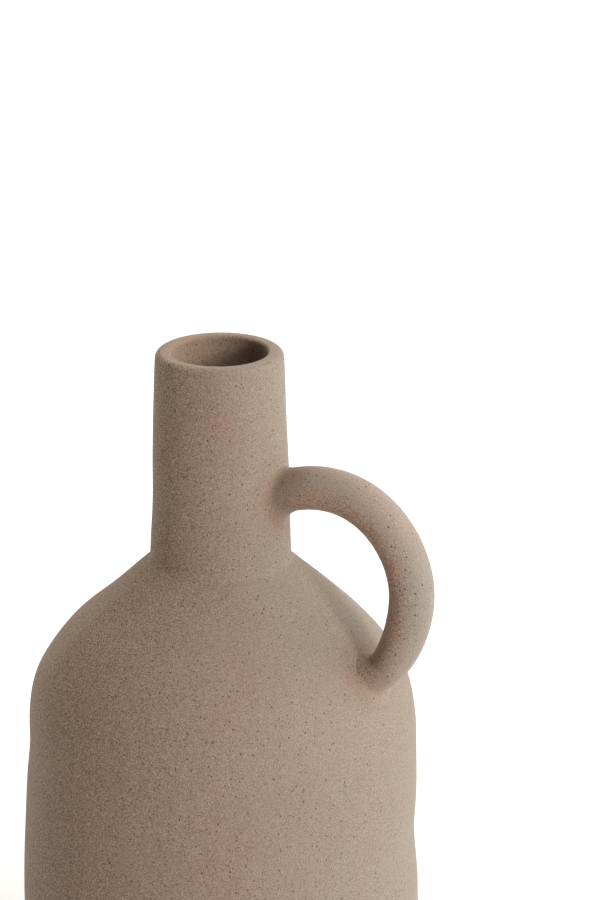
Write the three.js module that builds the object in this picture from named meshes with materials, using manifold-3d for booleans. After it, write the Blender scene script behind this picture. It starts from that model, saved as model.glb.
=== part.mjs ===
// A hand-built stoneware jug vase: a floor, a wall, a shoulder, a neck and a lip luted together,
// with one round loop handle from the neck to the shoulder.
// Millimetres, +Z up. The origin is the middle of the foot, and +X points at the handle.
import * as THREE from "three";
import { mergeVertices } from "three/addons/utils/BufferGeometryUtils.js";
import Module from "manifold-3d";

// Vessel, outside
const TOTAL_HEIGHT = 310;
const NECK_HEIGHT = 90;
const FOOT_RADIUS = 85;
const WALL_TAPER = 2.4;
const SHOULDER_SLOPE_DEG = 41.5;
const SHOULDER_ROUND = 72;
const NECK_FOOT_RADIUS = 29.9;
const NECK_TAPER = 2.9;
const FOOT_ROUND = 5;

// Clay thicknesses
const FLOOR = 9;
const WALL = 7;
const NECK_WALL = 6.8;

// Joints: every luted face keeps a thin layer of slip between its two pieces
const SLIP_GAP = 0.3;
const WALL_BEVEL = 4;
const LIP_HEIGHT = 9;
const LIP_OUTER_ROUND = 3;
const LIP_INNER_ROUND = 1.4;
const NECK_SEAM_REACH = 2.2;
const NECK_SEAM_DEPTH = 3.6;
const SHOULDER_COIL_WIDTH = 13;
const SHOULDER_COIL_PROUD = 2.4;
const FLOOR_COIL_LEG = 9;
const FLOOR_COIL_FILL = 0.35;

// Handle: a round rod, thickest at its bow, that leaves the neck rising and lands on the shoulder
const HANDLE_DIAMETER = 18.9;
const HANDLE_ROOT_DIAMETER = 17.9;
const HANDLE_LANDING_DIAMETER = 14.4;
const HANDLE_ROOT_RISE = 32.7;
const HANDLE_ROOT_LIFT_DEG = 22.4;
const HANDLE_LANDING = 59.4;
const HANDLE_LANDING_STEEP_DEG = 31;
const HANDLE_OVERHANG = 16.8;
const HANDLE_BOW_RISE = 37.8;
const HANDLE_ROOT_PULL = 0.67;
const HANDLE_CROWN_PULL = 0.64;
const HANDLE_BOW_PULL = 0.39;
const HANDLE_LANDING_PULL = 0.28;

// Lutes: clay smeared round the handle's ends, up the rod and out over the vessel. The over side is
// above the root and inside the landing. The fill is a deep hollow at 0, a flat at 1 and a lump above
const UPPER_LUTE = {
  upRod: { over: 5.5, side: 3, under: 9 },
  outOver: { over: 4, side: 2.5, under: 8.5 },
  fill: { over: 0.25, side: 0.25, under: 0.25 },
};
const LOWER_LUTE = {
  upRod: { over: 6, side: 9, under: 3 },
  outOver: { over: 3.4, side: 3.4, under: 5.5 },
  fill: { over: 1.2, side: 1.35, under: 0.3 },
};

// Hand marks: shallow hollows and swellings, each at a turn from the handle and a height from the foot
const HAND_MARKS = [
  { turn: 207, height: 140, around: 48, along: 14, out: -1.5 },
  { turn: 207, height: 78, around: 60, along: 32, out: 1.4 },
  { turn: 200, height: 168, around: 36, along: 10, out: 0.9 },
  { turn: 188, height: 203, around: 22, along: 9, out: -0.8 },
  { turn: 207, height: 246, around: 20, along: 15, out: -0.6 },
  { turn: 27, height: 96, around: 46, along: 14, out: -1.2 },
  { turn: 42, height: 190, around: 24, along: 9, out: -0.9 },
  { turn: 40, height: 164, around: 22, along: 8, out: 0.8 },
  { turn: 27, height: 256, around: 20, along: 17, out: 0.3 },
  { turn: 95, height: 118, around: 52, along: 30, out: -0.9 },
  { turn: 140, height: 178, around: 40, along: 20, out: 0.6 },
  { turn: 285, height: 72, around: 50, along: 28, out: -0.6 },
  { turn: 60, height: 66, around: 40, along: 22, out: 0.5 },
];
const LIP_TILT = 1.2;
const LIP_TILT_TURN_DEG = 110;

// Facets
const SEGMENTS = 56;
const ROW_HEIGHT = 15;
const ARC_STEPS = 6;
const COIL_STEPS = 4;
const ROD_SIDES = 24;
const ROD_STEPS = 34;
const LUTE_SIDES = 30;
const LUTE_STEPS = 6;
const TRIM_TRIES = 40;

const STONEWARE = { color: 0xa58c78, roughness: 0.9, metalness: 0 };

const wasm = await Module();
wasm.setup();

// The outside line of the vessel: foot, wall, round, slope, crease and neck
const slope = THREE.MathUtils.degToRad(SHOULDER_SLOPE_DEG);
const creaseHeight = TOTAL_HEIGHT - NECK_HEIGHT;
const crease = new THREE.Vector2(NECK_FOOT_RADIUS, creaseHeight);
const shoulderRadius = FOOT_RADIUS - WALL_TAPER;
const neckTopRadius = NECK_FOOT_RADIUS - NECK_TAPER;
const upSlope = new THREE.Vector2(-Math.cos(slope), Math.sin(slope));
const cornerHeight = creaseHeight - (shoulderRadius - NECK_FOOT_RADIUS) * Math.tan(slope);
const corner = new THREE.Vector2(shoulderRadius, cornerHeight);
const upWall = new THREE.Vector2(shoulderRadius - FOOT_RADIUS, cornerHeight).normalize();
const wallNormalAngle = Math.atan2(-upWall.x, upWall.y);
const slopeNormalAngle = Math.PI / 2 - slope;
const roundTangent = SHOULDER_ROUND * Math.tan((slopeNormalAngle - wallNormalAngle) / 2);
const wallTop = corner.clone().addScaledVector(upWall, -roundTangent);
const slopeFoot = corner.clone().addScaledVector(upSlope, roundTangent);
const roundCentre = new THREE.Vector2(
  wallTop.x - SHOULDER_ROUND * Math.cos(wallNormalAngle),
  wallTop.y - SHOULDER_ROUND * Math.sin(wallNormalAngle),
);

function roundPoint(radius, angle) {
  return new THREE.Vector2(
    roundCentre.x + radius * Math.cos(angle),
    roundCentre.y + radius * Math.sin(angle),
  );
}

function outerRadius(z) {
  if (z > creaseHeight) {
    return THREE.MathUtils.mapLinear(z, creaseHeight, TOTAL_HEIGHT, NECK_FOOT_RADIUS, neckTopRadius);
  }
  if (z > slopeFoot.y) {
    return NECK_FOOT_RADIUS + (creaseHeight - z) / Math.tan(slope);
  }
  if (z > wallTop.y) {
    return roundCentre.x + Math.sqrt(SHOULDER_ROUND ** 2 - (z - roundCentre.y) ** 2);
  }
  return wallTop.x + ((z - wallTop.y) * upWall.x) / upWall.y;
}

function outerPoint(z) {
  return new THREE.Vector2(outerRadius(z), z);
}

function wallInside(z) {
  return new THREE.Vector2(outerRadius(z) - WALL, z);
}

function neckInside(z) {
  return new THREE.Vector2(outerRadius(z) - NECK_WALL, z);
}

function shoulderPoint(slant) {
  const straight = crease.distanceTo(slopeFoot);
  if (slant < straight) {
    return crease.clone().addScaledVector(upSlope, -slant);
  }
  return roundPoint(SHOULDER_ROUND, slopeNormalAngle - (slant - straight) / SHOULDER_ROUND);
}

function raised(point, height) {
  return new THREE.Vector2(point.x, point.y + height);
}

// The hand marks push the whole wall in or out, so that pieces that meet stay matched
function handPush(turn, z) {
  let push = 0;
  for (const mark of HAND_MARKS) {
    const delta = turn - THREE.MathUtils.degToRad(mark.turn);
    const swing = Math.atan2(Math.sin(delta), Math.cos(delta)) * outerRadius(mark.height);
    const climb = z - mark.height;
    push += mark.out * Math.exp(-((swing / mark.around) ** 2) - (climb / mark.along) ** 2);
  }
  return push;
}

function lipLift(x, y, z) {
  const share = THREE.MathUtils.smoothstep(z, creaseHeight, TOTAL_HEIGHT);
  const tiltTurn = THREE.MathUtils.degToRad(LIP_TILT_TURN_DEG);
  const across = (x * Math.cos(tiltTurn) + y * Math.sin(tiltTurn)) / neckTopRadius;
  return (LIP_TILT / 2) * share * across;
}

function handShape(geometry) {
  const position = geometry.getAttribute("position");
  for (let i = 0; i < position.count; i += 1) {
    const x = position.getX(i);
    const y = position.getY(i);
    const z = position.getZ(i);
    const radius = Math.hypot(x, y);
    const share = Math.min(1, radius / outerRadius(z));
    const push = handPush(Math.atan2(y, x), z) * share;
    const stretch = radius > 0 ? (radius + push) / radius : 1;
    position.setXYZ(i, x * stretch, y * stretch, z + lipLift(x, y, z));
  }
  return geometry;
}

// Tall straight runs get rows, so that the hand marks show on them
function withRows(points) {
  const rows = [points[0]];
  for (let i = 1; i < points.length; i += 1) {
    const start = points[i - 1];
    const count = Math.max(1, Math.ceil(Math.abs(points[i].y - start.y) / ROW_HEIGHT));
    for (let k = 1; k <= count; k += 1) {
      rows.push(start.clone().lerp(points[i], k / count));
    }
  }
  return rows;
}

function turned(profile) {
  const geometry = new THREE.LatheGeometry(withRows(profile), SEGMENTS);
  geometry.rotateX(Math.PI / 2);
  return handShape(geometry);
}

function turnedRing(section) {
  return turned([...section, section[0].clone()]);
}

function arcPoints(centre, radius, startAngle, endAngle) {
  const curve = new THREE.EllipseCurve(
    centre.x, centre.y, radius, radius, startAngle, endAngle, endAngle < startAngle,
  );
  return curve.getPoints(ARC_STEPS);
}

function coilFace(start, control, end) {
  return new THREE.QuadraticBezierCurve(start, control, end).getPoints(COIL_STEPS);
}

// Floor: a flat slab with a rounded lower edge, on which the wall stands
function floorSlab() {
  const edge = new THREE.Vector2(outerRadius(FOOT_ROUND) - FOOT_ROUND, FOOT_ROUND);
  return turned([
    new THREE.Vector2(0, 0),
    ...arcPoints(edge, FOOT_ROUND, -Math.PI / 2, 0),
    outerPoint(FLOOR),
    new THREE.Vector2(0, FLOOR),
  ]);
}

// Wall: a slab cylinder, its top edge bevelled down to the inside to take the shoulder
const wallFoot = FLOOR + SLIP_GAP;
const bevelFoot = wallTop.y - WALL_BEVEL;

function bodyWall() {
  return turnedRing([outerPoint(wallFoot), wallTop, wallInside(bevelFoot), wallInside(wallFoot)]);
}

// Floor coil: a coil pressed into the inside corner of the floor and the wall
function floorSeamCoil() {
  const base = wallFoot;
  const top = base + FLOOR_COIL_LEG;
  const heel = new THREE.Vector2(wallInside(base).x - SLIP_GAP, base);
  const toe = new THREE.Vector2(heel.x - FLOOR_COIL_LEG, base);
  const tip = new THREE.Vector2(wallInside(top).x - SLIP_GAP, top);
  const fill = FLOOR_COIL_LEG * FLOOR_COIL_FILL;
  const hollow = new THREE.Vector2(heel.x - fill, base + fill);
  return turnedRing([heel, ...coilFace(tip, hollow, toe)]);
}

// Shoulder: a sloped ring, rounded over at the wall and bevelled at the neck
const innerRound = SHOULDER_ROUND - WALL;
const innerCrease = new THREE.Vector2(
  NECK_FOOT_RADIUS - NECK_WALL,
  creaseHeight + NECK_WALL * Math.tan(slope) - WALL / Math.cos(slope),
);
const mitre = innerCrease.clone().sub(crease).normalize();
const grooveFloor = crease.clone().addScaledVector(mitre, NECK_SEAM_DEPTH);
const grooveBelow = crease.clone().addScaledVector(upSlope, -NECK_SEAM_REACH);
const grooveAbove = outerPoint(creaseHeight + NECK_SEAM_REACH);

function shoulder() {
  const seat = wallTop.y + SLIP_GAP;
  const seatAngle = Math.asin((seat - roundCentre.y) / SHOULDER_ROUND);
  const outside = arcPoints(roundCentre, SHOULDER_ROUND, seatAngle, slopeNormalAngle);
  const inside = arcPoints(roundCentre, innerRound, slopeNormalAngle, wallNormalAngle);
  return turnedRing([
    ...outside,
    grooveBelow.clone().addScaledVector(upSlope, -SLIP_GAP),
    raised(grooveFloor, -SLIP_GAP / 2),
    raised(innerCrease, -SLIP_GAP / 2),
    ...inside,
    wallInside(bevelFoot + SLIP_GAP),
  ]);
}

// Shoulder coil: a coil flattened over the inside of the seam between the wall and the shoulder
function shoulderSeamCoil() {
  const low = wallInside(bevelFoot - SHOULDER_COIL_WIDTH / 2);
  const high = wallInside(bevelFoot + SHOULDER_COIL_WIDTH / 2);
  const clearance = new THREE.Vector2(-SLIP_GAP, 0);
  low.add(clearance);
  high.add(clearance);
  const belly = low.clone().lerp(high, 0.5);
  belly.x -= 2 * SHOULDER_COIL_PROUD;
  return turnedRing(coilFace(high, belly, low));
}

// Neck: a tall tube, its foot bevelled to sit in the shoulder's opening
const lipFoot = TOTAL_HEIGHT - LIP_HEIGHT;

function neck() {
  return turnedRing([
    raised(grooveFloor, SLIP_GAP / 2),
    raised(grooveAbove, SLIP_GAP),
    outerPoint(lipFoot),
    neckInside(lipFoot),
    raised(innerCrease, SLIP_GAP / 2),
  ]);
}

// Neck coil: a thin coil pressed into the groove round the crease and smoothed to a small hollow
function neckSeamCoil() {
  const floor = grooveFloor.clone().addScaledVector(mitre, -2 * SLIP_GAP);
  return turnedRing([floor, ...coilFace(grooveBelow, crease, grooveAbove)]);
}

// Lip: a coil on the neck's top edge, rounded outside and eased at the mouth
function lipCoil() {
  const seat = lipFoot + SLIP_GAP;
  const outerCentre = new THREE.Vector2(neckTopRadius - LIP_OUTER_ROUND, TOTAL_HEIGHT - LIP_OUTER_ROUND);
  const mouthRadius = neckTopRadius - NECK_WALL;
  const innerCentre = new THREE.Vector2(mouthRadius + LIP_INNER_ROUND, TOTAL_HEIGHT - LIP_INNER_ROUND);
  return turnedRing([
    outerPoint(seat),
    ...arcPoints(outerCentre, LIP_OUTER_ROUND, 0, Math.PI / 2),
    ...arcPoints(innerCentre, LIP_INNER_ROUND, Math.PI / 2, Math.PI),
    neckInside(seat),
  ]);
}

// Handle: its centreline lies in the XZ plane and runs on into the clay at both ends
const rodRadius = HANDLE_DIAMETER / 2;
const rootRadius = HANDLE_ROOT_DIAMETER / 2;
const landingRadius = HANDLE_LANDING_DIAMETER / 2;
const rootLift = THREE.MathUtils.degToRad(HANDLE_ROOT_LIFT_DEG);
const landingSteep = THREE.MathUtils.degToRad(HANDLE_LANDING_STEEP_DEG);

function handlePath() {
  const place = (point) => new THREE.Vector3(point.x, 0, point.y);
  const root = place(outerPoint(creaseHeight + HANDLE_ROOT_RISE));
  const landing = place(shoulderPoint(HANDLE_LANDING));
  const bow = landing.clone().add(new THREE.Vector3(HANDLE_OVERHANG, 0, HANDLE_BOW_RISE));
  const rootOut = new THREE.Vector3(Math.cos(rootLift), 0, Math.sin(rootLift));
  const landingOut = new THREE.Vector3(Math.cos(landingSteep), 0, Math.sin(landingSteep));
  const up = new THREE.Vector3(0, 0, 1);
  const path = new THREE.CurvePath();
  path.add(new THREE.LineCurve3(root.clone().addScaledVector(rootOut, -rodRadius), root));
  path.add(new THREE.CubicBezierCurve3(
    root,
    root.clone().addScaledVector(rootOut, HANDLE_ROOT_PULL * (bow.x - root.x)),
    bow.clone().addScaledVector(up, HANDLE_CROWN_PULL * (root.z - bow.z)),
    bow,
  ));
  path.add(new THREE.CubicBezierCurve3(
    bow,
    bow.clone().addScaledVector(up, -HANDLE_BOW_PULL * HANDLE_BOW_RISE),
    landing.clone().addScaledVector(landingOut, HANDLE_LANDING_PULL * HANDLE_BOW_RISE),
    landing,
  ));
  path.add(new THREE.LineCurve3(landing, landing.clone().addScaledVector(landingOut, -rodRadius)));
  return path;
}

const path = handlePath();
const [rootMark, bowMark, landingMark, pathEnd] = path.getCurveLengths();

function radiusAt(distance) {
  const toRoot = THREE.MathUtils.clamp((bowMark - distance) / (bowMark - rootMark), 0, 1);
  const toLanding = THREE.MathUtils.clamp((distance - bowMark) / (landingMark - bowMark), 0, 1);
  const thinnedToRoot = (rodRadius - rootRadius) * toRoot ** 2;
  const thinnedToLanding = (rodRadius - landingRadius) * toLanding ** 2;
  return rodRadius - thinnedToRoot - thinnedToLanding;
}

// A point on the rod or proud of it, and the way out from the rod there
function rodPoint(distance, turn, proud) {
  const share = distance / pathEnd;
  const side = new THREE.Vector3(0, 1, 0);
  const over = new THREE.Vector3().crossVectors(path.getTangentAt(share), side);
  const outward = over.multiplyScalar(Math.cos(turn)).addScaledVector(side, Math.sin(turn));
  const point = path.getPointAt(share).addScaledVector(outward, radiusAt(distance) + proud);
  return { point, outward };
}

// A skin over a row of outlines that all have the same number of points
function loft(outlines, looped) {
  const size = outlines[0].length;
  const faces = [];
  const spans = looped ? outlines.length : outlines.length - 1;
  for (let k = 0; k < spans; k += 1) {
    const row = k * size;
    const next = ((k + 1) % outlines.length) * size;
    for (let j = 0; j < size; j += 1) {
      const after = (j + 1) % size;
      faces.push(row + j, next + j, row + after);
      faces.push(row + after, next + j, next + after);
    }
  }
  const last = (outlines.length - 1) * size;
  for (let j = 1; !looped && j < size - 1; j += 1) {
    faces.push(0, j, j + 1);
    faces.push(last, last + j + 1, last + j);
  }
  const geometry = new THREE.BufferGeometry().setFromPoints(outlines.flat());
  geometry.setIndex(faces);
  return geometry;
}

function turns(count) {
  return Array.from({ length: count }, (_, k) => (2 * Math.PI * k) / count);
}

function toSolid(geometry) {
  const bare = geometry.clone();
  bare.deleteAttribute("normal");
  bare.deleteAttribute("uv");
  const merged = mergeVertices(bare);
  return new wasm.Manifold(new wasm.Mesh({
    numProp: 3,
    vertProperties: new Float32Array(merged.getAttribute("position").array),
    triVerts: new Uint32Array(merged.getIndex().array),
  }));
}

function toGeometry(solid) {
  const mesh = solid.getMesh();
  const geometry = new THREE.BufferGeometry();
  geometry.setAttribute("position", new THREE.BufferAttribute(mesh.vertProperties, 3));
  geometry.setIndex(new THREE.BufferAttribute(mesh.triVerts, 1));
  return geometry;
}

// The vessel as one full body, grown by the slip, trims the handle's ends to saddles
function slippedVessel() {
  const grown = (point) => new THREE.Vector2(point.x + SLIP_GAP, point.y);
  const round = arcPoints(roundCentre, SHOULDER_ROUND, wallNormalAngle, slopeNormalAngle);
  return turned([
    new THREE.Vector2(0, FLOOR),
    grown(outerPoint(FLOOR)),
    ...round.map(grown),
    grown(crease),
    grown(outerPoint(TOTAL_HEIGHT)),
    new THREE.Vector2(0, TOTAL_HEIGHT),
  ]);
}

function handle() {
  const rings = [];
  for (let k = 0; k <= ROD_STEPS; k += 1) {
    const distance = (pathEnd * k) / ROD_STEPS;
    rings.push(turns(ROD_SIDES).map((turn) => rodPoint(distance, turn, 0).point));
  }
  return toGeometry(toSolid(loft(rings, false)).subtract(toSolid(slippedVessel())));
}

// Height of a point above the slipped surface of the vessel, measured level
function standOff(point) {
  const surface = outerRadius(point.z) + handPush(Math.atan2(point.y, point.x), point.z);
  return Math.hypot(point.x, point.y) - surface - SLIP_GAP;
}

function settle(point) {
  const radius = Math.hypot(point.x, point.y);
  const stretch = (radius - standOff(point)) / radius;
  return new THREE.Vector3(point.x * stretch, point.y * stretch, point.z);
}

function surfaceNormal(point) {
  const reach = 0.5;
  const lean = (outerRadius(point.z + reach) - outerRadius(point.z - reach)) / (2 * reach);
  const radius = Math.hypot(point.x, point.y);
  return new THREE.Vector3(point.x / radius, point.y / radius, -lean).normalize();
}

// Distance along the rod at which its line at one turn comes out of the vessel
function leavesVessel(turn, buried, free) {
  let inside = buried;
  let outside = free;
  for (let i = 0; i < TRIM_TRIES; i += 1) {
    const middle = (inside + outside) / 2;
    if (standOff(rodPoint(middle, turn, SLIP_GAP).point) < 0) {
      inside = middle;
    } else {
      outside = middle;
    }
  }
  return outside;
}

// Lute: for every turn round the rod, a smear from the rod that runs out level with the vessel
function reachAt(reach, lean) {
  return THREE.MathUtils.lerp(reach.side, lean > 0 ? reach.over : reach.under, lean ** 2);
}

function lute(buried, { upRod, outOver, fill }) {
  const away = Math.sign(bowMark - buried);
  const sections = turns(LUTE_SIDES).map((turn) => {
    const lean = away * Math.cos(turn);
    const start = leavesVessel(turn, buried, bowMark);
    const heel = rodPoint(start, turn, SLIP_GAP);
    const tip = rodPoint(start + away * reachAt(upRod, lean), turn, SLIP_GAP).point;
    const along = heel.outward.projectOnPlane(surfaceNormal(heel.point)).normalize();
    const toe = settle(heel.point.clone().addScaledVector(along, reachAt(outOver, lean)));
    const chordMiddle = tip.clone().lerp(toe, 0.5);
    const bend = heel.point.clone().lerp(chordMiddle, reachAt(fill, lean));
    const brow = tip.clone().lerp(bend, 2 / 3);
    const foot = settle(toe.clone().lerp(bend, 2 / 3));
    return [heel.point, ...new THREE.CubicBezierCurve3(tip, brow, foot, toe).getPoints(LUTE_STEPS)];
  });
  return loft(away > 0 ? sections : sections.reverse(), true);
}

// Assembly, from the foot up
const vase = new THREE.Group();

function addPiece(name, geometry) {
  const mesh = new THREE.Mesh(geometry, new THREE.MeshStandardMaterial(STONEWARE));
  mesh.name = name;
  vase.add(mesh);
}

addPiece("floor_slab", floorSlab());
addPiece("floor_seam_coil", floorSeamCoil());
addPiece("body_wall", bodyWall());
addPiece("shoulder_seam_coil", shoulderSeamCoil());
addPiece("shoulder", shoulder());
addPiece("neck_seam_coil", neckSeamCoil());
addPiece("neck", neck());
addPiece("lip_coil", lipCoil());
addPiece("handle", handle());
addPiece("handle_upper_lute", lute(0, UPPER_LUTE));
addPiece("handle_lower_lute", lute(pathEnd, LOWER_LUTE));

export default vase;
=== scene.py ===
import bisect
import math

import bmesh
import bpy
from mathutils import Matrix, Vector, geometry, noise


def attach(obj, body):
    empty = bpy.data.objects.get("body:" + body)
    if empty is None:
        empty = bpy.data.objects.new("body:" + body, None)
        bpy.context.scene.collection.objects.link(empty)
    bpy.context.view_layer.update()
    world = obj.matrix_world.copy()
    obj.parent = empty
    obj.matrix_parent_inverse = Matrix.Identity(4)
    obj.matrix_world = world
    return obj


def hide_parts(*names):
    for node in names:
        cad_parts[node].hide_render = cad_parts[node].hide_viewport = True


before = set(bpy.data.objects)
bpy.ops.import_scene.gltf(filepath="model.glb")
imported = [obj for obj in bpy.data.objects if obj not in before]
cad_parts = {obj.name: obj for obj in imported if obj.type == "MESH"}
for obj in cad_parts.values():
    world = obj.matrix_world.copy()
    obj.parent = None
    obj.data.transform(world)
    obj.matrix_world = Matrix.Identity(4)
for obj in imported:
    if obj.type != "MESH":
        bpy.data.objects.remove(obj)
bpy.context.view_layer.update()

# Floor slab: a rolled disc of sandy stoneware, the first piece of the pot, with its lower edge
# thumbed round. The vessel's outline and its clay start here, because every ring takes its radius
# from the one outline, and every piece is of the one clay, left unglazed and fired matte.
TOTAL_HEIGHT = 0.310
NECK_HEIGHT = 0.090
FOOT_RADIUS = 0.0850
WALL_TAPER = 0.0024
SHOULDER_SLOPE = math.radians(41.5)
SHOULDER_ROUND = 0.072
NECK_FOOT_RADIUS = 0.0299
NECK_TAPER = 0.0029
FLOOR = 0.009
FOOT_ROUND = 0.005
FLOOR_ROWS = 8
FOOT_ROUND_ROWS = 12
JOINT_ROWS = 3
TURN_STEPS = 256
MERGE_GAP = 1e-6
SHARP_EDGE = math.radians(40)

crease_height = TOTAL_HEIGHT - NECK_HEIGHT
shoulder_radius = FOOT_RADIUS - WALL_TAPER
neck_top_radius = NECK_FOOT_RADIUS - NECK_TAPER
corner_height = crease_height - (shoulder_radius - NECK_FOOT_RADIUS) * math.tan(SHOULDER_SLOPE)
wall_lean = math.atan2(WALL_TAPER, corner_height)
slope_lean = math.pi / 2 - SHOULDER_SLOPE
round_tangent = SHOULDER_ROUND * math.tan((slope_lean - wall_lean) / 2)
wall_top = (
    shoulder_radius + round_tangent * math.sin(wall_lean),
    corner_height - round_tangent * math.cos(wall_lean),
)
slope_foot = (
    shoulder_radius - round_tangent * math.cos(SHOULDER_SLOPE),
    corner_height + round_tangent * math.sin(SHOULDER_SLOPE),
)
round_centre = (
    wall_top[0] - SHOULDER_ROUND * math.cos(wall_lean),
    wall_top[1] - SHOULDER_ROUND * math.sin(wall_lean),
)


def outer_radius(z):
    if z > crease_height:
        return NECK_FOOT_RADIUS - NECK_TAPER * (z - crease_height) / NECK_HEIGHT
    if z > slope_foot[1]:
        return NECK_FOOT_RADIUS + (crease_height - z) / math.tan(SHOULDER_SLOPE)
    if z > wall_top[1]:
        return round_centre[0] + math.sqrt(SHOULDER_ROUND ** 2 - (z - round_centre[1]) ** 2)
    return wall_top[0] + (wall_top[1] - z) * math.tan(wall_lean)


# Hand marks: degrees round from the handle, height, reach round, reach up and push outwards
HAND_MARKS = [
    (207, 0.140, 0.048, 0.014, -0.0015),
    (207, 0.078, 0.060, 0.032, 0.0014),
    (200, 0.168, 0.036, 0.010, 0.0009),
    (188, 0.203, 0.022, 0.009, -0.0008),
    (225, 0.191, 0.008, 0.016, 0.0010),
    (207, 0.246, 0.020, 0.015, -0.0006),
    (27, 0.096, 0.046, 0.014, -0.0012),
    (42, 0.190, 0.024, 0.009, -0.0009),
    (40, 0.164, 0.022, 0.008, 0.0008),
    (27, 0.256, 0.020, 0.017, 0.0003),
    (95, 0.118, 0.052, 0.030, -0.0009),
    (140, 0.178, 0.040, 0.020, 0.0006),
    (285, 0.072, 0.050, 0.028, -0.0006),
    (60, 0.066, 0.040, 0.022, 0.0005),
]
LIP_TILT = 0.00118
LIP_TILT_TURN = math.radians(110)
WOBBLE = 0.00042
WOBBLE_SIZE = 0.030
WOBBLE_PEAK = 0.6
STEADY_FOOT = 0.02


# The wobble goes mostly inwards, and fades out towards the foot
def hand_push(turn, z):
    push = 0
    for degrees, height, around, along, out in HAND_MARKS:
        swing = math.remainder(turn - math.radians(degrees), 2 * math.pi) * outer_radius(height)
        push += out * math.exp(-((swing / around) ** 2) - ((z - height) / along) ** 2)
    radius = outer_radius(z)
    place = Vector((radius * math.cos(turn), radius * math.sin(turn), z))
    grip = min(1, z / STEADY_FOOT)
    sway = noise.noise(place / WOBBLE_SIZE) - WOBBLE_PEAK
    return push + grip * WOBBLE * sway / (1 + WOBBLE_PEAK)


def lip_lift(x, y, z):
    climb = min(1, max(0, (z - crease_height) / NECK_HEIGHT))
    across = (x * math.cos(LIP_TILT_TURN) + y * math.sin(LIP_TILT_TURN)) / neck_top_radius
    return LIP_TILT / 2 * climb * climb * (3 - 2 * climb) * across


def run_to(bm, tip, r, z, rows=1):
    start = tip.co.copy()
    end = Vector((r, 0, z))
    for row in range(1, rows + 1):
        tip = bmesh.ops.extrude_vert_indiv(bm, verts=[tip])["verts"][0]
        tip.co = start.lerp(end, row / rows)
    return tip


def arc_to(bm, tip, centre, angle, rows):
    swept = bmesh.ops.spin(
        bm, geom=[tip], cent=(centre[0], 0, centre[1]), axis=(0, -1, 0), angle=angle, steps=rows
    )
    return [v for v in swept["geom_last"] if isinstance(v, bmesh.types.BMVert)][0]


def turned(bm):
    bmesh.ops.spin(
        bm, geom=bm.verts[:] + bm.edges[:], cent=(0, 0, 0), axis=(0, 0, 1),
        angle=2 * math.pi, steps=TURN_STEPS, use_merge=True,
    )
    bmesh.ops.remove_doubles(bm, verts=bm.verts, dist=MERGE_GAP)
    for v in bm.verts:
        x, y, z = v.co
        radius = math.hypot(x, y)
        if radius > 0:
            share = min(1, radius / outer_radius(z))
            stretch = 1 + hand_push(math.atan2(y, x), z) * share / radius
            v.co = (x * stretch, y * stretch, z + lip_lift(x, y, z))


# The clay is a buff that drifts from greyer to pinker, with a fine tooth of sand, dark specks of
# burnt iron and light grains of grog. On the handle's side, towards the main lights, it is painted
# paler and greyer as a painted sheen, with less grain. On the far side, in shade, it is painted
# browner as painted shade, with stronger grain as a painted glint of raking light on the sand.
CLAY_GREY = (0.360, 0.256, 0.182, 1)
CLAY_PINK = (0.358, 0.238, 0.167, 1)
CLAY_PAINTED_SHEEN = (0.346, 0.283, 0.210, 1)
CLAY_PAINTED_SHADE = (0.369, 0.244, 0.154, 1)
CLAY_SHADE = (0.082, 0.049, 0.031, 1)
IRON_BROWN = (0.040, 0.024, 0.014, 1)
GROG_PALE = (0.500, 0.410, 0.320, 1)
DRIFT_SIZE = 0.015
DRIFT_DETAIL = 3
DRIFT_SHADES = (0.36, 0.64)
PAINTED_SHEEN_STRENGTH = 0.75
PAINTED_SHADE_STRENGTH = 0.85
GROG_STRENGTH = 0.8
FINE_IRON_STRENGTH = 0.5
IRON_STRENGTH = 0.92
DRYNESS = (0.82, 0.66)
GLOSS = 0.2
SHEEN = 0.16
SHEEN_ROUGHNESS = 0.4

# Sand in two sizes, what it gives in shade and in height, and how much of its shade shows
SAND_SIZE = 0.00053
SAND_DETAIL = 2
FINE_SAND = 0.45
FINE_SAND_DETAIL = 1
FINE_SAND_WEIGHT = 0.4
NOISE_ROUGHNESS = 0.6
SAND_SHADES = (0.575, 0.825)
SAND_HEIGHTS = (0.40, 1.00)
EVEN_SHADE = 0.5
# How much of the sand's shade shows, from the handle's side to the far side's painted grain glint
BODY_SAND = (0.38, 1.0)
TOOTH_HEIGHT = 0.00025
TOOTH_STRENGTH = 0.7

# Grains: spacing, share of places left empty, and the smallest and largest reach in spacings
IRON_SPECKS = (0.0021, 0.25, 0.11, 0.21)
FINE_IRON = (0.0018, 0.60, 0.09, 0.15)
PALE_GROG = (0.0017, 0.45, 0.09, 0.16)
GRAIN_EDGE = 0.4

# Painted light by side, each from where it starts to where it is full: painted sheen on the handle's
# side, painted shade and a painted grain glint on the far side. Across goes from -1 on the far side
# to 1 on the handle's side. The others are distances from a root of the handle and the axis.
PAINTED_SHEEN_ACROSS = (0.52, 0.90)
PAINTED_SHADE_ACROSS = (0.30, -0.70)
GRAIN_GLINT_ACROSS = (0.70, -0.60)
PAINTED_SHEEN_FROM_ROOT = (0.010, 0.021)
GRAIN_GLINT_FROM_AXIS = (0.021, 0.026)
UPPER_ROOT = (0.029, 0, 0.250)
LOWER_ROOT = (0.066, -0.003, 0.180)


def clay_group(name, outputs):
    group = bpy.data.node_groups.new(name, "ShaderNodeTree")
    group.interface.new_socket("Place", in_out="INPUT", socket_type="NodeSocketVector")
    for output in outputs:
        group.interface.new_socket(output, in_out="OUTPUT", socket_type="NodeSocketFloat")
    start = group.nodes.new("NodeGroupInput")
    end = group.nodes.new("NodeGroupOutput")
    return group, start.outputs["Place"], end.inputs


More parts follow.
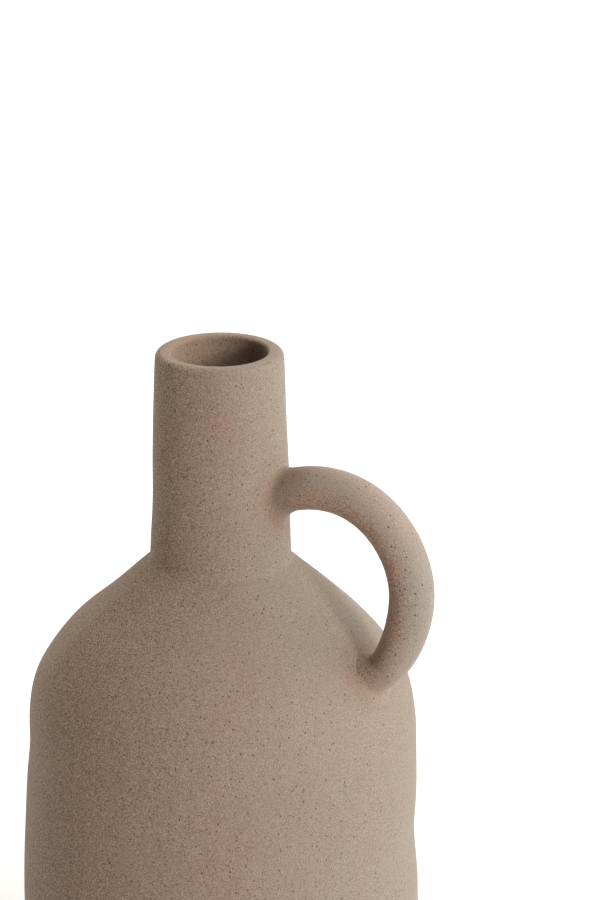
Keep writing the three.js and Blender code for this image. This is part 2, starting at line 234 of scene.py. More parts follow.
def noise_node(tree, place, size, detail):
    node = tree.nodes.new("ShaderNodeTexNoise")
    node.inputs["Scale"].default_value = 1 / size
    node.inputs["Detail"].default_value = detail
    node.inputs["Roughness"].default_value = NOISE_ROUGHNESS
    tree.links.new(place, node.inputs["Vector"])
    return node.outputs["Fac"]


def range_node(tree, value, reach, target=(0, 1), smooth=False):
    node = tree.nodes.new("ShaderNodeMapRange")
    node.interpolation_type = "SMOOTHSTEP" if smooth else "LINEAR"
    node.inputs["From Min"].default_value = reach[0]
    node.inputs["From Max"].default_value = reach[1]
    node.inputs["To Min"].default_value = target[0]
    node.inputs["To Max"].default_value = target[1]
    tree.links.new(value, node.inputs["Value"])
    return node.outputs["Result"]


def math_node(tree, operation, inputs, kind="ShaderNodeMath", output="Value"):
    node = tree.nodes.new(kind)
    node.operation = operation
    for socket, value in zip(node.inputs, inputs):
        if isinstance(value, bpy.types.NodeSocket):
            tree.links.new(value, socket)
        else:
            socket.default_value = value
    return node.outputs[output]


def place_node(tree, operation, inputs, output="Vector"):
    return math_node(tree, operation, inputs, "ShaderNodeVectorMath", output)


def distance_node(tree, place, centre):
    return place_node(tree, "DISTANCE", [place, centre], "Value")


def sand_group():
    group, place, out = clay_group("sand_tooth", ["Shade", "Height"])
    coarse = noise_node(group, place, SAND_SIZE, SAND_DETAIL)
    fine = noise_node(group, place, SAND_SIZE * FINE_SAND, FINE_SAND_DETAIL)
    blend = math_node(group, "MULTIPLY_ADD", [fine, FINE_SAND_WEIGHT, coarse])
    group.links.new(range_node(group, blend, SAND_SHADES), out["Shade"])
    group.links.new(range_node(group, blend, SAND_HEIGHTS), out["Height"])
    return group


# Grains lie at the middles of a broken cell pattern, each of its own size, and many cells have none
def grains_group(name, spacing, empty, smallest, largest):
    group, place, out = clay_group(name, ["Mask"])
    cells = group.nodes.new("ShaderNodeTexVoronoi")
    cells.inputs["Scale"].default_value = 1 / spacing
    group.links.new(place, cells.inputs["Vector"])
    draw = group.nodes.new("ShaderNodeSeparateColor")
    group.links.new(cells.outputs["Color"], draw.inputs["Color"])
    reach = range_node(group, draw.outputs["Red"], (0, 1), (smallest, largest))
    depth = math_node(group, "SUBTRACT", [reach, cells.outputs["Distance"]])
    grain = range_node(group, depth, (0, GRAIN_EDGE * smallest), smooth=True)
    present = math_node(group, "GREATER_THAN", [draw.outputs["Green"], empty])
    group.links.new(math_node(group, "MULTIPLY", [grain, present]), out["Mask"])
    return group


def drift_group():
    group, place, out = clay_group("fire_drift", ["Drift"])
    drift = noise_node(group, place, DRIFT_SIZE, DRIFT_DETAIL)
    group.links.new(range_node(group, drift, DRIFT_SHADES, smooth=True), out["Drift"])
    return group


# Painted sheen on the handle's side, painted shade and a painted grain glint on the far side. The
# painted sheen stays off round the handle's roots, and the painted grain glint off inside the neck
def painted_light_side_group():
    group, place, out = clay_group("painted_light_side", ["PaintedSheen", "PaintedShade", "PaintedGrainGlint"])
    flat = place_node(group, "MULTIPLY", [place, (1, 1, 0)])
    side = group.nodes.new("ShaderNodeSeparateXYZ")
    group.links.new(place_node(group, "NORMALIZE", [flat]), side.inputs["Vector"])
    across = side.outputs["X"]
    from_axis = place_node(group, "LENGTH", [flat], "Value")
    from_root = math_node(group, "MINIMUM", [
        distance_node(group, place, UPPER_ROOT),
        distance_node(group, place, LOWER_ROOT),
    ])
    painted_sheen = math_node(group, "MULTIPLY", [
        range_node(group, across, PAINTED_SHEEN_ACROSS, smooth=True),
        range_node(group, from_root, PAINTED_SHEEN_FROM_ROOT, smooth=True),
    ])
    painted_grain_glint = math_node(group, "MULTIPLY", [
        range_node(group, across, GRAIN_GLINT_ACROSS),
        range_node(group, from_axis, GRAIN_GLINT_FROM_AXIS, smooth=True),
    ])
    group.links.new(painted_sheen, out["PaintedSheen"])
    group.links.new(range_node(group, across, PAINTED_SHADE_ACROSS, smooth=True), out["PaintedShade"])
    group.links.new(painted_grain_glint, out["PaintedGrainGlint"])
    return group


sand_tooth = sand_group()
iron_specks = grains_group("iron_specks", *IRON_SPECKS)
fine_iron = grains_group("fine_iron", *FINE_IRON)
pale_grog = grains_group("pale_grog", *PALE_GROG)
fire_drift = drift_group()
painted_light_side = painted_light_side_group()


# Tints and painted light lie over the clay's first colour, each with its place, colour and strength.
# The sand's shade shows most where the painted grain glint is full, where it stands in for raking
# light on the sand of the shaded side.
def stoneware_clay(name, first, tints_and_painted_light, shade, painted_grain_glint, sand_share):
    clay = bpy.data.materials.new(name)
    clay.use_nodes = True
    tree = clay.node_tree
    surface = tree.nodes["Principled BSDF"]
    place = tree.nodes.new("ShaderNodeTexCoord").outputs["Object"]

    def effect(group, output):
        node = tree.nodes.new("ShaderNodeGroup")
        node.node_tree = group
        tree.links.new(place, node.inputs["Place"])
        return node.outputs[output]

    def tinted(share, under, over, strength=1.0):
        mix = tree.nodes.new("ShaderNodeMix")
        mix.data_type = "RGBA"
        tree.links.new(range_node(tree, share, (0, 1), (0, strength)), mix.inputs["Factor"])
        for socket, colour in ((mix.inputs["A"], under), (mix.inputs["B"], over)):
            if isinstance(colour, tuple):
                socket.default_value = colour
            else:
                tree.links.new(colour, socket)
        return mix.outputs["Result"]

    body = first
    for group, output, colour, strength in tints_and_painted_light:
        body = tinted(effect(group, output), body, colour, strength)
    sand = effect(sand_tooth, "Shade")
    # The grain is painted stronger where the painted grain glint is full, standing in for raking light
    share = range_node(tree, effect(*painted_grain_glint), (0, 1), sand_share)
    swing = math_node(tree, "SUBTRACT", [sand, EVEN_SHADE])
    grain = math_node(tree, "MULTIPLY_ADD", [swing, share, EVEN_SHADE])
    sandy = tinted(grain, shade, body)
    # Pale grains of grog, shown more where the painted grain glint is full: real grog and painted
    # glints
    grog = math_node(tree, "MULTIPLY", [effect(pale_grog, "Mask"), share])
    grogged = tinted(grog, sandy, GROG_PALE, GROG_STRENGTH)
    peppered = tinted(effect(fine_iron, "Mask"), grogged, IRON_BROWN, FINE_IRON_STRENGTH)
    specked = tinted(effect(iron_specks, "Mask"), peppered, IRON_BROWN, IRON_STRENGTH)
    tree.links.new(specked, surface.inputs["Base Color"])
    tree.links.new(range_node(tree, sand, (0, 1), DRYNESS), surface.inputs["Roughness"])
    bump = tree.nodes.new("ShaderNodeBump")
    bump.inputs["Strength"].default_value = TOOTH_STRENGTH
    bump.inputs["Distance"].default_value = TOOTH_HEIGHT
    tree.links.new(effect(sand_tooth, "Height"), bump.inputs["Height"])
    tree.links.new(bump.outputs["Normal"], surface.inputs["Normal"])
    surface.inputs["Specular IOR Level"].default_value = GLOSS
    surface.inputs["Sheen Weight"].default_value = SHEEN
    surface.inputs["Sheen Roughness"].default_value = SHEEN_ROUGHNESS
    return clay


stoneware = stoneware_clay(
    "sandy_stoneware", CLAY_GREY,
    [
        (fire_drift, "Drift", CLAY_PINK, 1.0),
        # Painted sheen on the handle's side and painted shade on the far side
        (painted_light_side, "PaintedSheen", CLAY_PAINTED_SHEEN, PAINTED_SHEEN_STRENGTH),
        (painted_light_side, "PaintedShade", CLAY_PAINTED_SHADE, PAINTED_SHADE_STRENGTH),
    ],
    # The sand's shade shows more on the far side as a painted grain glint
    CLAY_SHADE, (painted_light_side, "PaintedGrainGlint"), BODY_SAND,
)


def fired(bm, name, clay=stoneware):
    bmesh.ops.remove_doubles(bm, verts=bm.verts, dist=MERGE_GAP)
    bmesh.ops.recalc_face_normals(bm, faces=bm.faces)
    mesh = bpy.data.meshes.new(name)
    bm.to_mesh(mesh)
    bm.free()
    mesh.materials.append(clay)
    mesh.shade_smooth()
    mesh.set_sharp_from_angle(angle=SHARP_EDGE)
    piece = bpy.data.objects.new(name, mesh)
    bpy.context.collection.objects.link(piece)
    return piece


edge = (outer_radius(FOOT_ROUND) - FOOT_ROUND, FOOT_ROUND)

bm = bmesh.new()
tip = bm.verts.new((0, 0, 0))
tip = run_to(bm, tip, edge[0], 0, FLOOR_ROWS)
tip = arc_to(bm, tip, edge, math.pi / 2, FOOT_ROUND_ROWS)
tip = run_to(bm, tip, outer_radius(FLOOR), FLOOR, JOINT_ROWS)
run_to(bm, tip, 0, FLOOR, FLOOR_ROWS)
turned(bm)
floor_slab = fired(bm, "floor_slab_clay")
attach(floor_slab, "root")
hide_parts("floor_slab")

# Body wall: a slab of clay bent round to a cylinder and stood on the floor with slip.
# It draws in a little towards its top, which is bevelled down to the inside.
WALL = 0.007
WALL_BEVEL = 0.004
WALL_ROWS = 72
WALL_INSIDE_ROWS = 40
bevel_foot = wall_top[1] - WALL_BEVEL

bm = bmesh.new()
tip = bm.verts.new((outer_radius(FLOOR), 0, FLOOR))
tip = run_to(bm, tip, *wall_top, WALL_ROWS)
tip = run_to(bm, tip, outer_radius(bevel_foot) - WALL, bevel_foot, JOINT_ROWS)
tip = run_to(bm, tip, outer_radius(FLOOR) - WALL, FLOOR, WALL_INSIDE_ROWS)
run_to(bm, tip, outer_radius(FLOOR), FLOOR, JOINT_ROWS)
turned(bm)
body_wall = fired(bm, "body_wall_clay")
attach(body_wall, "root")
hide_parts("body_wall")

# Floor seam coil: a thin coil of clay pressed with a thumb into the inside corner
# of the floor and the wall, and smeared to a hollow.
COIL_LEG = 0.009
COIL_HOLLOW = 0.0145
COIL_ROWS = 12
COIL_BACK_ROWS = 4
coil_top = FLOOR + COIL_LEG
coil_heel = outer_radius(FLOOR) - WALL
coil_head = outer_radius(coil_top) - WALL
chord = Vector((coil_head - coil_heel + COIL_LEG, COIL_LEG))
half_turn = math.asin(chord.length / 2 / COIL_HOLLOW)
chord_middle = Vector((coil_heel - COIL_LEG, FLOOR)) + chord / 2
chord_rise = math.sqrt(COIL_HOLLOW ** 2 - chord.length_squared / 4)
hollow_centre = chord_middle + Vector((-chord.y, chord.x)).normalized() * chord_rise

bm = bmesh.new()
tip = bm.verts.new((coil_heel, 0, FLOOR))
tip = run_to(bm, tip, coil_head, coil_top, COIL_BACK_ROWS)
tip = arc_to(bm, tip, hollow_centre, -2 * half_turn, COIL_ROWS)
run_to(bm, tip, coil_heel, FLOOR, COIL_BACK_ROWS)
turned(bm)
floor_seam_coil = fired(bm, "floor_seam_coil_clay")
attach(floor_seam_coil, "root")
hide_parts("floor_seam_coil")

# Shoulder: a ring of clay leaned in over the wall, rounded over at its foot and sloped up to
# the neck. Its top edge is cut to a groove, half of which the neck's foot makes.
SEAM_REACH = 0.0022
SEAM_DEPTH = 0.0036
NECK_WALL = 0.0068
ROUND_ROWS = 40
SLOPE_ROWS = 32
ROUND_INSIDE_ROWS = 20
SLOPE_INSIDE_ROWS = 20
inner_round = SHOULDER_ROUND - WALL
inner_slope_foot = (
    round_centre[0] + inner_round * math.cos(slope_lean),
    round_centre[1] + inner_round * math.sin(slope_lean),
)
inner_crease = (
    NECK_FOOT_RADIUS - NECK_WALL,
    crease_height + NECK_WALL * math.tan(SHOULDER_SLOPE) - WALL / math.cos(SHOULDER_SLOPE),
)
crease = Vector((NECK_FOOT_RADIUS, crease_height))
groove_floor = crease + (Vector(inner_crease) - crease).normalized() * SEAM_DEPTH
groove_below = crease + Vector((math.cos(SHOULDER_SLOPE), -math.sin(SHOULDER_SLOPE))) * SEAM_REACH

bm = bmesh.new()
tip = bm.verts.new((wall_top[0], 0, wall_top[1]))
tip = arc_to(bm, tip, round_centre, slope_lean - wall_lean, ROUND_ROWS)
tip = run_to(bm, tip, *groove_below, SLOPE_ROWS)
tip = run_to(bm, tip, *groove_floor, JOINT_ROWS)
tip = run_to(bm, tip, *inner_crease, JOINT_ROWS)
tip = run_to(bm, tip, *inner_slope_foot, SLOPE_INSIDE_ROWS)
tip = arc_to(bm, tip, round_centre, wall_lean - slope_lean, ROUND_INSIDE_ROWS)
tip = run_to(bm, tip, outer_radius(bevel_foot) - WALL, bevel_foot, JOINT_ROWS)
run_to(bm, tip, *wall_top, JOINT_ROWS)
turned(bm)
shoulder = fired(bm, "shoulder_clay")
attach(shoulder, "root")
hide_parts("shoulder")

# Shoulder seam coil: a coil flattened with the fingers over the inside of the seam
# between the wall and the shoulder, reached through the open top before the neck goes on.
COIL_WIDTH = 0.013
COIL_PROUD = 0.0024
coil_low = Vector((outer_radius(bevel_foot - COIL_WIDTH / 2) - WALL, bevel_foot - COIL_WIDTH / 2))
coil_high = Vector((outer_radius(bevel_foot + COIL_WIDTH / 2) - WALL, bevel_foot + COIL_WIDTH / 2))
coil_belly = (COIL_WIDTH ** 2 / 4 + COIL_PROUD ** 2) / (2 * COIL_PROUD)
coil_sweep = 2 * math.asin(COIL_WIDTH / 2 / coil_belly)
coil_centre = (coil_low + coil_high) / 2 + Vector((coil_belly - COIL_PROUD, 0))

bm = bmesh.new()
tip = bm.verts.new((coil_low.x, 0, coil_low.y))
tip = run_to(bm, tip, *coil_high, COIL_BACK_ROWS)
tip = arc_to(bm, tip, coil_centre, coil_sweep, COIL_ROWS)
run_to(bm, tip, *coil_low)
turned(bm)
shoulder_seam_coil = fired(bm, "shoulder_seam_coil_clay")
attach(shoulder_seam_coil, "root")
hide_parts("shoulder_seam_coil")

# Neck: a slab of clay rolled to a tall tube, a little narrower at the top. It is luted with slip
# into the opening of the shoulder, and its foot makes the upper half of the groove there.
LIP_HEIGHT = 0.009
NECK_ROWS = 56
NECK_INSIDE_ROWS = 48
lip_foot = TOTAL_HEIGHT - LIP_HEIGHT
groove_above = Vector((outer_radius(crease_height + SEAM_REACH), crease_height + SEAM_REACH))

bm = bmesh.new()
tip = bm.verts.new((groove_floor.x, 0, groove_floor.y))
tip = run_to(bm, tip, *groove_above, JOINT_ROWS)
tip = run_to(bm, tip, outer_radius(lip_foot), lip_foot, NECK_ROWS)
tip = run_to(bm, tip, outer_radius(lip_foot) - NECK_WALL, lip_foot, JOINT_ROWS)
tip = run_to(bm, tip, *inner_crease, NECK_INSIDE_ROWS)
run_to(bm, tip, *groove_floor, JOINT_ROWS)
turned(bm)
neck = fired(bm, "neck_clay")
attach(neck, "root")
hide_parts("neck")

# Neck seam coil: a thin coil of clay pressed into the groove round the crease and wiped
# with a wet finger to a small hollow.
neck_lean = math.atan2(NECK_TAPER, NECK_HEIGHT)
crease_turn = slope_lean - neck_lean
crease_hollow = SEAM_REACH / math.tan(crease_turn / 2)
crease_centre = groove_above + Vector((math.cos(neck_lean), math.sin(neck_lean))) * crease_hollow

bm = bmesh.new()
tip = bm.verts.new((groove_floor.x, 0, groove_floor.y))
tip = run_to(bm, tip, *groove_below, JOINT_ROWS)
tip = arc_to(bm, tip, crease_centre, -crease_turn, COIL_ROWS)
run_to(bm, tip, *groove_floor, JOINT_ROWS)
turned(bm)
neck_seam_coil = fired(bm, "neck_seam_coil_clay")
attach(neck_seam_coil, "root")
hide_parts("neck_seam_coil")

# Lip coil: a fat coil of clay set on the neck's top edge, joined inside and out, and rolled over
# with a damp sponge to a soft thick lip.
OUTER_ROUND = 0.0030
INNER_ROUND = 0.0014
LIP_SIDE_ROWS = 6
OUTER_ROUND_ROWS = 14
LIP_TOP_ROWS = 4
INNER_ROUND_ROWS = 10
LIP_INSIDE_ROWS = 5
outer_edge = (neck_top_radius - OUTER_ROUND, TOTAL_HEIGHT - OUTER_ROUND)
mouth_edge = (neck_top_radius - NECK_WALL + INNER_ROUND, TOTAL_HEIGHT - INNER_ROUND)

bm = bmesh.new()
tip = bm.verts.new((outer_radius(lip_foot), 0, lip_foot))
tip = run_to(bm, tip, neck_top_radius, outer_edge[1], LIP_SIDE_ROWS)
tip = arc_to(bm, tip, outer_edge, math.pi / 2, OUTER_ROUND_ROWS)
tip = run_to(bm, tip, mouth_edge[0], TOTAL_HEIGHT, LIP_TOP_ROWS)
tip = arc_to(bm, tip, mouth_edge, math.pi / 2, INNER_ROUND_ROWS)
tip = run_to(bm, tip, outer_radius(lip_foot) - NECK_WALL, lip_foot, LIP_INSIDE_ROWS)
run_to(bm, tip, outer_radius(lip_foot), lip_foot, JOINT_ROWS)
turned(bm)
lip_coil = fired(bm, "lip_coil_clay")
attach(lip_coil, "root")
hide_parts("lip_coil")

# Handle: a round rod pulled from a lump of the same clay, bent to a loop while soft, and set with
# slip between the neck and the shoulder. Its ends are cut to sit on both. Its colour is painted
# light: lighter than the body as painted top light and sheen, redder inside the loop as painted warm
# bounce light, darker at the far side of the bow as painted shade, and the body's clay at its two
# roots.
ROD_RADIUS = 0.00942
ROOT_RADIUS = 0.00892
LANDING_RADIUS = 0.00718
ROOT_RISE = 0.0327
ROOT_LIFT = math.radians(22.4)
LANDING = 0.0594
LANDING_STEEP = math.radians(31)
OVERHANG = 0.0168
BOW_RISE = 0.0378
ROOT_PULL = 0.67
CROWN_PULL = 0.64
BOW_PULL = 0.39
LANDING_PULL = 0.28
ROD_SIDES = 64
ROD_ROWS = 150
PATH_POINTS = 300
PATH_STEP = 0.0008
HALVINGS = 30

slope_length = (Vector(slope_foot) - crease).length
landing_angle = slope_lean - (LANDING - slope_length) / SHOULDER_ROUND
root_height = crease_height + ROOT_RISE
root = Vector((outer_radius(root_height), 0, root_height))
landing = Vector((
    round_centre[0] + SHOULDER_ROUND * math.cos(landing_angle),
    0,
    round_centre[1] + SHOULDER_ROUND * math.sin(landing_angle),
))
bow = landing + Vector((OVERHANG, 0, BOW_RISE))
root_out = Vector((math.cos(ROOT_LIFT), 0, math.sin(ROOT_LIFT)))
landing_out = Vector((math.cos(LANDING_STEEP), 0, math.sin(LANDING_STEEP)))
up = Vector((0, 0, 1))
upper_run = geometry.interpolate_bezier(
    root, root + root_out * ROOT_PULL * (bow.x - root.x),
    bow + up * CROWN_PULL * (root.z - bow.z), bow, PATH_POINTS,
)
lower_run = geometry.interpolate_bezier(
    bow, bow - up * BOW_PULL * BOW_RISE,
    landing + landing_out * LANDING_PULL * BOW_RISE, landing, PATH_POINTS,
)
inside_neck = root - root_out * ROD_RADIUS
inside_shoulder = landing - landing_out * ROD_RADIUS
rod_path = [inside_neck] + upper_run + lower_run[1:] + [inside_shoulder]
path_marks = [0]
for before, after in zip(rod_path, rod_path[1:]):
    path_marks.append(path_marks[-1] + (after - before).length)
path_length = path_marks[-1]
root_mark = path_marks[1]
bow_mark = path_marks[PATH_POINTS]
landing_mark = path_marks[-2]


def rod_centre(distance):
    distance = min(path_length, max(0, distance))
    row = min(bisect.bisect_right(path_marks, distance), len(path_marks) - 1)
    part = (distance - path_marks[row - 1]) / (path_marks[row] - path_marks[row - 1])
    return rod_path[row - 1].lerp(rod_path[row], part)


def rod_radius(distance):
    to_root = min(1, max(0, (bow_mark - distance) / (bow_mark - root_mark)))
    to_landing = min(1, max(0, (distance - bow_mark) / (landing_mark - bow_mark)))
    thinned = (ROD_RADIUS - ROOT_RADIUS) * to_root ** 2
    return ROD_RADIUS - thinned - (ROD_RADIUS - LANDING_RADIUS) * to_landing ** 2


def rod_place(distance, turn, sink=0.0):
    along = (rod_centre(distance + PATH_STEP) - rod_centre(distance - PATH_STEP)).normalized()
    over = Vector((-along.z, 0, along.x))
    outward = over * math.cos(turn) + Vector((0, 1, 0)) * math.sin(turn)
    return rod_centre(distance) + outward * (rod_radius(distance) - sink)


# Distance of a place from the vessel's outer surface, less than zero inside the clay
def stand_off(place):
    turn = math.atan2(place.y, place.x)
    return math.hypot(place.x, place.y) - outer_radius(place.z) - hand_push(turn, place.z)


# Distance along the rod at which the line at one turn round it comes out of the clay
def leaves_clay(turn, inside, outside):
    for _ in range(HALVINGS):
        middle = (inside + outside) / 2
        if stand_off(rod_place(middle, turn)) < 0:
            inside = middle
        else:
            outside = middle
    return (inside + outside) / 2


def lofted(bm, rings):
    ring = bmesh.ops.create_circle(bm, segments=len(rings[0]), radius=ROD_RADIUS)["verts"]
    for number, places in enumerate(rings):
        if number:
            edges = [bm.edges.get(pair) for pair in zip(ring, ring[1:] + ring[:1])]
            grown = bmesh.ops.extrude_edge_only(bm, edges=edges)["geom"]
            new = {v for v in grown if isinstance(v, bmesh.types.BMVert)}
            ring = [next(e.other_vert(v) for e in v.link_edges if e.other_vert(v) in new) for v in ring]
        for v, place in zip(ring, places):
            v.co = place


rod_turns = [2 * math.pi * side / ROD_SIDES for side in range(ROD_SIDES)]
root_marks = [leaves_clay(turn, 0, path_length / 3) for turn in rod_turns]
landing_marks = [leaves_clay(turn, path_length, path_length * 2 / 3) for turn in rod_turns]
rod_rings = []
for row in range(ROD_ROWS + 1):
    share = row / ROD_ROWS
    rod_rings.append([
        rod_place(start + (end - start) * share, turn)
        for turn, start, end in zip(rod_turns, root_marks, landing_marks)
    ])
root_seat = [place.lerp(root, 0.5) for place in rod_rings[0]]
landing_seat = [place.lerp(landing, 0.5) for place in rod_rings[-1]]

# Painted light on the handle: its clay painted lighter than the body's as painted top light and
# sheen, painted warm bounce light inside the loop, and painted shade at the far side of the bow,
# with a painted grain glint inside the loop. The marks go each from where it starts to where it is
# full: the distance from the loop's middle, how far out from the neck, the height, and the distance
# from a root
HANDLE_CLAY_PAINTED_LIGHT = (0.436, 0.346, 0.277, 1)
HANDLE_PAINTED_BOUNCE = (0.490, 0.312, 0.218, 1)
HANDLE_PAINTED_SHADE = (0.372, 0.322, 0.262, 1)
HANDLE_SHADE = (0.108, 0.059, 0.031, 1)
HANDLE_SAND = (0.24, 0.72)
LOOP_MIDDLE = (0.0462, 0, 0.2141)
PAINTED_BOUNCE_WITHIN = (0.050, 0.039)
UNPAINTED_NEAR_NECK = (0.050, 0.034)
PAINTED_SHADE_FAR_OUT = (0.084, 0.097)
PAINTED_SHEEN_BELOW = (0.175, 0.166)
UNPAINTED_NEAR_LANDING = (0.018, 0.008)


def loop_painted_light_group():
    group, place, out = clay_group("loop_painted_light", ["Within", "Near", "Far", "Landed", "Toe"])
    offset = place_node(group, "SUBTRACT", [place, LOOP_MIDDLE])
    flat = place_node(group, "MULTIPLY", [offset, (1, 0, 1)])
    from_middle = place_node(group, "LENGTH", [flat], "Value")
    from_landing = distance_node(group, place, LOWER_ROOT)
    along = group.nodes.new("ShaderNodeSeparateXYZ")
    group.links.new(place, along.inputs["Vector"])
    for output, value, reach in (
        ("Within", from_middle, PAINTED_BOUNCE_WITHIN),
        ("Near", along.outputs["X"], UNPAINTED_NEAR_NECK),
        ("Far", along.outputs["X"], PAINTED_SHADE_FAR_OUT),
        ("Toe", along.outputs["Z"], PAINTED_SHEEN_BELOW),
        ("Landed", from_landing, UNPAINTED_NEAR_LANDING),
    ):
        group.links.new(range_node(group, value, reach, smooth=True), out[output])
    return group


loop_painted_light = loop_painted_light_group()
handle_clay = stoneware_clay(
    "handle_stoneware", HANDLE_CLAY_PAINTED_LIGHT,
    [
        # Painted bounce inside, body clay near the neck, painted shade far out, body's painted sheen
        # low down
        (loop_painted_light, "Within", HANDLE_PAINTED_BOUNCE, 1.0),
        (loop_painted_light, "Near", CLAY_PINK, 1.0),
        (loop_painted_light, "Far", HANDLE_PAINTED_SHADE, 1.0),
        (loop_painted_light, "Toe", CLAY_PAINTED_SHEEN, 1.0),
        (loop_painted_light, "Landed", CLAY_PINK, 1.0),
    ],
    # The sand's shade shows more inside the loop as a painted grain glint
    HANDLE_SHADE, (loop_painted_light, "Within"), HANDLE_SAND,
)

bm = bmesh.new()
lofted(bm, [[root] * ROD_SIDES, root_seat] + rod_rings + [landing_seat, [landing] * ROD_SIDES])
handle = fired(bm, "handle_clay", handle_clay)
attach(handle, "root")
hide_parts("handle")

# Upper lute: soft clay smeared with a finger round the handle's root on the neck, to hide the
# joint and hold it. It is tight beside the rod and fuller under it.
LUTE_ROWS = 14
LUTE_SINK = 0.0002
LUTE_BROW = 0.35
LUTE_PULL = 2 / 3
CLAY_STEP = 0.0005

# Reaches up the rod and out over the clay, and the fill of the corner: above, beside and below
UPPER_ROD = (0.0055, 0.0030, 0.0090)
UPPER_CLAY = (0.0040, 0.0025, 0.0085)
UPPER_FILL = (0.25, 0.25, 0.25)


def clay_normal(place):
    rise = outer_radius(place.z + CLAY_STEP) - outer_radius(place.z - CLAY_STEP)
    lean = rise / (2 * CLAY_STEP)
    radius = math.hypot(place.x, place.y)
    return Vector((place.x / radius, place.y / radius, -lean)).normalized()


def settled(place, sink=0.0):
    radius = math.hypot(place.x, place.y)
    stretch = (radius - stand_off(place) - sink) / radius
    return Vector((place.x * stretch, place.y * stretch, place.z))


def reach_at(reach, lean):
    over, side, under = reach
    return side + ((over if lean > 0 else under) - side) * lean ** 2


# At each turn the lute runs from its tip on the rod, past the heel of the joint, to its toe on
# the vessel. Away is 1 where the rod leaves the vessel and -1 where it comes back.
def lute_rings(marks, away, rod_reach, clay_reach, fill):
    rows = [[] for _ in range(LUTE_ROWS + 3)]
    for turn, mark in zip(rod_turns, marks):
        lean = away * math.cos(turn)
        tip_mark = mark + away * reach_at(rod_reach, lean)
        heel = rod_place(mark, turn)
        tip = rod_place(tip_mark, turn)
        normal = clay_normal(heel)
        outward = heel - rod_centre(mark)
        outward = (outward - normal * outward.dot(normal)).normalized()
        toe = settled(heel + outward * reach_at(clay_reach, lean))
        bend = heel.lerp((tip + toe) / 2, reach_at(fill, lean))
        brow = tip.lerp(heel.lerp(bend, LUTE_BROW), LUTE_PULL)
        foot = settled(toe.lerp(bend, LUTE_PULL))
        places = [rod_place(tip_mark, turn, LUTE_SINK)]
        places += geometry.interpolate_bezier(tip, brow, foot, toe, LUTE_ROWS + 1)
        places.append(settled(toe, LUTE_SINK))
        for row, place in zip(rows, places):
            row.append(place)
    under = [settled(rod_place(mark, turn), LUTE_SINK) for turn, mark in zip(rod_turns, marks)]
    return rows + [under, rows[0]]


bm = bmesh.new()
lofted(bm, lute_rings(root_marks, 1, UPPER_ROD, UPPER_CLAY, UPPER_FILL))
handle_upper_lute = fired(bm, "handle_upper_lute_clay")
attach(handle_upper_lute, "root")
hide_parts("handle_upper_lute")

# Lower lute: soft clay in the handle's colours and their painted light, smeared round its root on the
# shoulder to hold it. It spreads in a flare above and beside the rod, and thins out to a soft edge
# below.
LOWER_ROD = (0.0060, 0.0090, 0.0030)
LOWER_CLAY = (0.0034, 0.0034, 0.0055)
LOWER_FILL = (1.2, 1.35, 0.3)

bm = bmesh.new()
lofted(bm, lute_rings(landing_marks, -1, LOWER_ROD, LOWER_CLAY, LOWER_FILL))
handle_lower_lute = fired(bm, "handle_lower_lute_clay", handle_clay)
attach(handle_lower_lute, "root")
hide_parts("handle_lower_lute")

# Studio: a plain white floor that runs out of sight, with soft lights round it. Most of the light
# comes from the right, and one smaller light there throws the handle's shadow on the shoulder.
STUDIO_SIZE = 8
STUDIO_CELLS = 8
STUDIO_WHITE = (0.86, 0.86, 0.86, 1)
STUDIO_ROUGHNESS = 0.9
DAYLIGHT = (0.97, 1.0, 1.04)
WARM_WHITE = (1.0, 0.92, 0.78)
CAMERA_TURN = math.radians(27)

# Soft lights: degrees to the right of the camera, degrees up, spread in degrees, strength and colour
SOFT_LIGHTS = {
    "high_window": (55, 45, 60, 2.60, DAYLIGHT),
    "side_window": (115, 20, 60, 2.36, DAYLIGHT),
    "small_lamp": (41, 15, 14, 2.08, DAYLIGHT),
    "ceiling": (0, 90, 100, 0.30, DAYLIGHT),
    "back_card": (180, 50, 60, 0.90, WARM_WHITE),
    "left_card": (220, 30, 60, 1.45, WARM_WHITE),
}


def seen_from(turn, lift):
    return Vector((math.sin(turn) * math.cos(lift), -math.cos(turn) * math.cos(lift), math.sin(lift)))


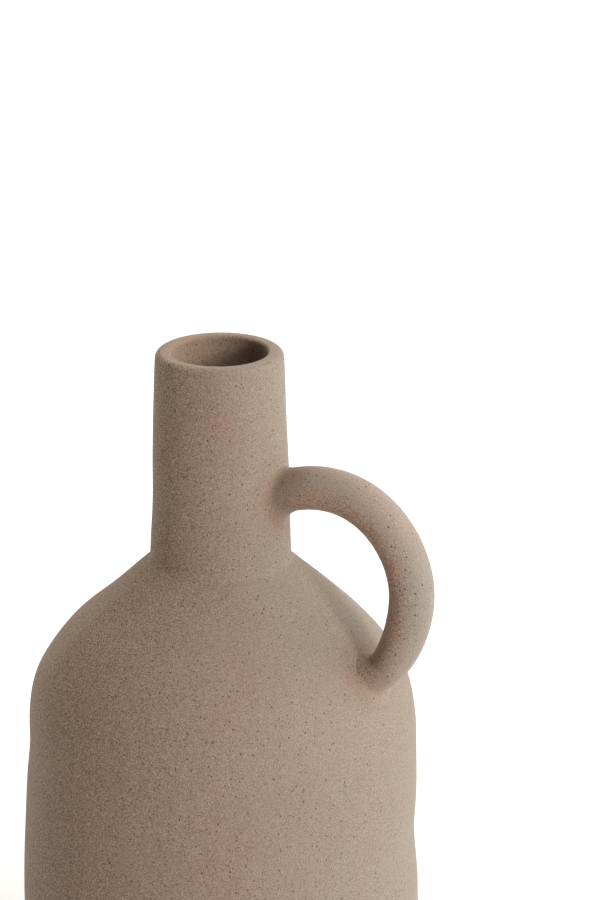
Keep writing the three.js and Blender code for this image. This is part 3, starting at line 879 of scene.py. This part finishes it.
bm = bmesh.new()
bmesh.ops.create_grid(bm, x_segments=STUDIO_CELLS, y_segments=STUDIO_CELLS, size=STUDIO_SIZE)
studio_mesh = bpy.data.meshes.new("studio_floor")
bm.to_mesh(studio_mesh)
bm.free()
floor_white = bpy.data.materials.new("floor_white")
floor_white.use_nodes = True
floor_surface = floor_white.node_tree.nodes["Principled BSDF"]
floor_surface.inputs["Base Color"].default_value = STUDIO_WHITE
floor_surface.inputs["Roughness"].default_value = STUDIO_ROUGHNESS
studio_mesh.materials.append(floor_white)
studio_floor = bpy.data.objects.new("studio_floor", studio_mesh)
bpy.context.collection.objects.link(studio_floor)

dark_room = bpy.data.worlds.new("dark_room")
dark_room.use_nodes = True
dark_room.node_tree.nodes["Background"].inputs["Strength"].default_value = 0
bpy.context.scene.world = dark_room
bpy.context.scene.view_settings.view_transform = "Standard"

for name, (right, lift, spread, strength, colour) in SOFT_LIGHTS.items():
    shines_from = seen_from(CAMERA_TURN + math.radians(right), math.radians(lift))
    light = bpy.data.lights.new(name, "SUN")
    light.energy = strength
    light.color = colour
    light.angle = math.radians(spread)
    lamp = bpy.data.objects.new(name, light)
    lamp.location = shines_from
    lamp.rotation_euler = shines_from.to_track_quat("Z", "Y").to_euler()
    bpy.context.collection.objects.link(lamp)

# Camera: a long lens, a little above the vase and looking down on its mouth, framed so that
# the foot is out of view.
CAMERA_PITCH = math.radians(18.2)
CAMERA_DISTANCE = 1.8
CAMERA_LENS = 172.8
FILM_HEIGHT = 36
AIM_RIGHT = 0.0333
AIM_BELOW_LIP = 0.04334

camera_from = seen_from(CAMERA_TURN, CAMERA_PITCH)
camera_right = Vector((math.cos(CAMERA_TURN), math.sin(CAMERA_TURN), 0))
aim = Vector((0, 0, TOTAL_HEIGHT - AIM_BELOW_LIP)) + camera_right * AIM_RIGHT
camera_data = bpy.data.cameras.new("camera")
camera_data.sensor_fit = "VERTICAL"
camera_data.sensor_height = FILM_HEIGHT
camera_data.lens = CAMERA_LENS
camera = bpy.data.objects.new("camera", camera_data)
camera.location = aim + camera_from * CAMERA_DISTANCE
camera.rotation_euler = camera_from.to_track_quat("Z", "Y").to_euler()
bpy.context.collection.objects.link(camera)
bpy.context.scene.camera = camera
